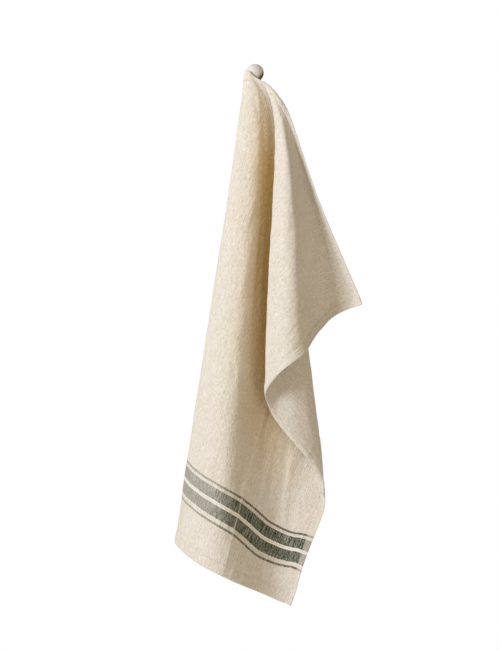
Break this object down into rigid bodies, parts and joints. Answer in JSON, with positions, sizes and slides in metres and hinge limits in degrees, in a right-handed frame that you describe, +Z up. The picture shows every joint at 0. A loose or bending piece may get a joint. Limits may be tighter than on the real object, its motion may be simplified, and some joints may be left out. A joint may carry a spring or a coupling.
{
  "type": "tea towel on a wall peg",
  "caption": "Linen tea towel hung by its hem on a rounded wall peg, falling in pleats with a flap at the front and a woven band near its lower edge.",
  "frame": {"origin": "middle of the peg's flat back face, where it meets the wall", "axes": "+Y into the wall along the peg, +Z up, +X to the right as seen from the room"},
  "size_m": [0.2814, 0.1409, 0.801],
  "materials": {
    "linen": "undyed linen in plain weave with slubs, a woven band of two grey-green stripes and two thin lines near one short edge",
    "painted_wood": "turned wood under satin off-white paint"
  },
  "bodies": {
    "root": {"towel": "linen", "peg": "painted_wood"}
  },
  "joints": []
}
